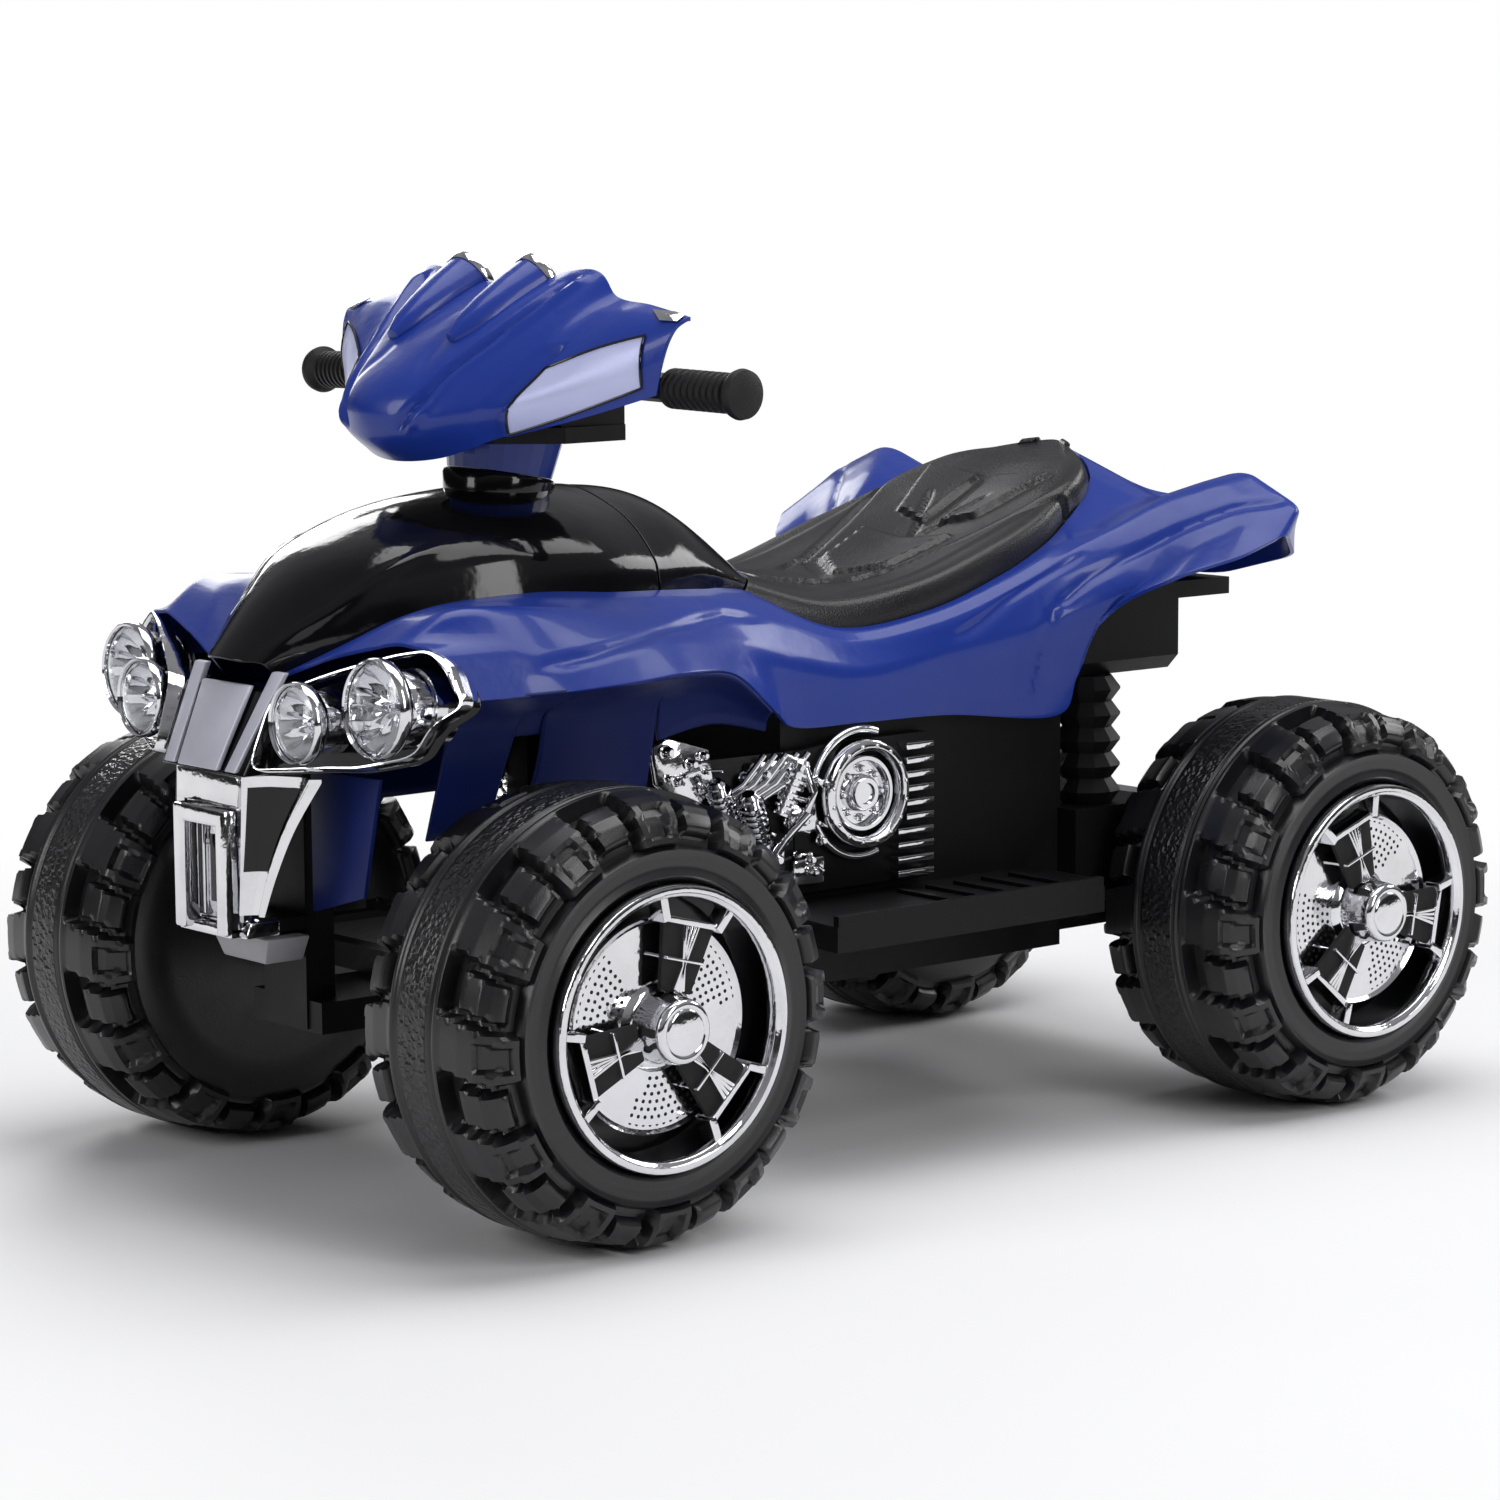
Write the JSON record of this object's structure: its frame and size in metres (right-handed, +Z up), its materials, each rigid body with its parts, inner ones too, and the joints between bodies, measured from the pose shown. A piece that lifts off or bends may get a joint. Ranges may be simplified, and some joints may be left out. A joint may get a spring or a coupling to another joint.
{
  "type": "electric ride-on quad bike for a child",
  "caption": "Battery ride-on quad for a child: straddle seat, handlebar with cowl and dash, blue one-piece fender body, chunky moulded wheels, foot pedal.",
  "frame": {"origin": "on the ground, under the middle of the quad's length and width", "axes": "+X is the rider's left, -Y is the front, +Z is up"},
  "size_m": [0.696, 1.0748, 0.7034],
  "materials": {
    "body_blue": "gloss moulded",
    "gloss_black": "gloss moulded",
    "black_plastic": "satin moulded",
    "seat_grey": "satin moulded, grained",
    "lavender": "satin moulded",
    "grey_plastic": "satin moulded",
    "plated": "bright plated plastic",
    "tyre_black": "blow-moulded, satin",
    "grip_black": "matt",
    "clear": "clear moulded",
    "steel": "zinc plated",
    "black_steel": "black painted",
    "red": "gloss moulded"
  },
  "bodies": {
    "chassis": {"body_shell": "body_blue", "bonnet": "gloss_black", "tank_cover": "gloss_black", "seat": "seat_grey", "nose_frame": "gloss_black", "nose_panel": "lavender", "front_bumper": "plated", "skid_plate": "grey_plastic", "chassis_tray": "black_plastic", "front_axle_beam": "black_steel", "rear_axle": "steel", "battery": "black_plastic", "control_box": "grey_plastic", "charging_socket": "black_plastic", "column_bush": "black_plastic", "rear_mudguard": "black_plastic", "gearbox_left": "black_plastic", "drive_motor_left": "steel", "headlamp_frame_left": "plated", "headlamp_unit_left": "gloss_black", "headlamp_lens_inner_left": "clear", "headlamp_lens_outer_left": "clear", "engine_cover_left": "plated", "rear_shock_left": "black_plastic", "gearbox_right": "black_plastic", "drive_motor_right": "steel", "headlamp_frame_right": "plated", "headlamp_unit_right": "gloss_black", "headlamp_lens_inner_right": "clear", "headlamp_lens_outer_right": "clear", "engine_cover_right": "plated", "rear_shock_right": "black_plastic"},
    "steering": {"steering_column": "black_steel", "steering_neck": "body_blue", "handlebar": "black_steel", "handlebar_grip_left": "grip_black", "handlebar_grip_right": "grip_black", "cowl": "body_blue", "cowl_panel_left": "lavender", "cowl_panel_right": "lavender", "gauge_cluster": "body_blue", "dash_panel": "black_plastic", "lower_cowl": "black_plastic"},
    "horn_button": {"horn_button": "red"},
    "music_button": {"music_button": "red"},
    "power_switch": {"power_switch": "red"},
    "direction_switch": {"direction_switch": "red"},
    "steering_knuckle_left": {"steering_knuckle_left": "black_steel"},
    "steering_knuckle_right": {"steering_knuckle_right": "black_steel"},
    "tie_rod": {"tie_rod": "black_steel"},
    "accelerator": {"accelerator_pedal": "black_plastic"},
    "wheel_front_left": {"tyre_front_left": "tyre_black", "wheel_trim_front_left": "plated"},
    "wheel_front_right": {"tyre_front_right": "tyre_black", "wheel_trim_front_right": "plated"},
    "wheel_rear_left": {"tyre_rear_left": "tyre_black", "wheel_trim_rear_left": "plated"},
    "wheel_rear_right": {"tyre_rear_right": "tyre_black", "wheel_trim_rear_right": "plated"}
  },
  "joints": [
    {"name": "steering_turn", "type": "hinge", "parent": "chassis", "child": "steering", "pos_m": [0, -0.25844, 0.53487], "axis": [0, 0.1736, 0.9848], "range_deg": [-30, 30]},
    {"name": "knuckle_left_turn", "type": "hinge", "parent": "chassis", "child": "steering_knuckle_left", "pos_m": [0.14, -0.35944, 0.16487], "axis": [0, 0, 1], "range_deg": [-15, 15]},
    {"name": "knuckle_right_turn", "type": "hinge", "parent": "chassis", "child": "steering_knuckle_right", "pos_m": [-0.14, -0.35944, 0.16487], "axis": [0, 0, 1], "range_deg": [-15, 15]},
    {"name": "tie_rod_pivot", "type": "hinge", "parent": "steering_knuckle_left", "child": "tie_rod", "pos_m": [0.14, -0.27944, 0.18487], "axis": [0, 0, 1], "range_deg": [-15, 15]},
    {"name": "wheel_front_left_spin", "type": "hinge", "parent": "steering_knuckle_left", "child": "wheel_front_left", "pos_m": [0.247, -0.35944, 0.16487], "axis": [1, 0, 0], "continuous": true},
    {"name": "wheel_front_right_spin", "type": "hinge", "parent": "steering_knuckle_right", "child": "wheel_front_right", "pos_m": [-0.247, -0.35944, 0.16487], "axis": [1, 0, 0], "continuous": true},
    {"name": "wheel_rear_left_spin", "type": "hinge", "parent": "chassis", "child": "wheel_rear_left", "pos_m": [0.247, 0.37256, 0.16487], "axis": [1, 0, 0], "continuous": true},
    {"name": "wheel_rear_right_spin", "type": "hinge", "parent": "chassis", "child": "wheel_rear_right", "pos_m": [-0.247, 0.37256, 0.16487], "axis": [1, 0, 0], "continuous": true},
    {"name": "accelerator_press", "type": "hinge", "parent": "chassis", "child": "accelerator", "pos_m": [-0.198, -0.01944, 0.20887], "axis": [1, 0, 0], "range_deg": [0, 10], "stiffness_Nm_per_rad": 0.6, "springref_deg": -5.73},
    {"name": "horn_press", "type": "slide", "parent": "steering", "child": "horn_button", "axis": [0, -0.6493, -0.7606], "range_m": [0, 0.0025], "stiffness_N_per_m": 300, "springref_m": -0.002},
    {"name": "music_press", "type": "slide", "parent": "steering", "child": "music_button", "axis": [0, -0.6493, -0.7606], "range_m": [0, 0.0025], "stiffness_N_per_m": 300, "springref_m": -0.002},
    {"name": "power_rock", "type": "hinge", "parent": "steering", "child": "power_switch", "pos_m": [0.03, -0.20792, 0.64267], "axis": [1, 0, 0], "range_deg": [-10, 10]},
    {"name": "direction_rock", "type": "hinge", "parent": "steering", "child": "direction_switch", "pos_m": [-0.03, -0.20792, 0.64267], "axis": [1, 0, 0], "range_deg": [-10, 10]}
  ],
  "couplings": [
    {"joint": "knuckle_left_turn", "follows": "steering_turn", "ratio": 0.5},
    {"joint": "knuckle_right_turn", "follows": "steering_turn", "ratio": 0.5},
    {"joint": "tie_rod_pivot", "follows": "steering_turn", "ratio": -0.5}
  ]
}
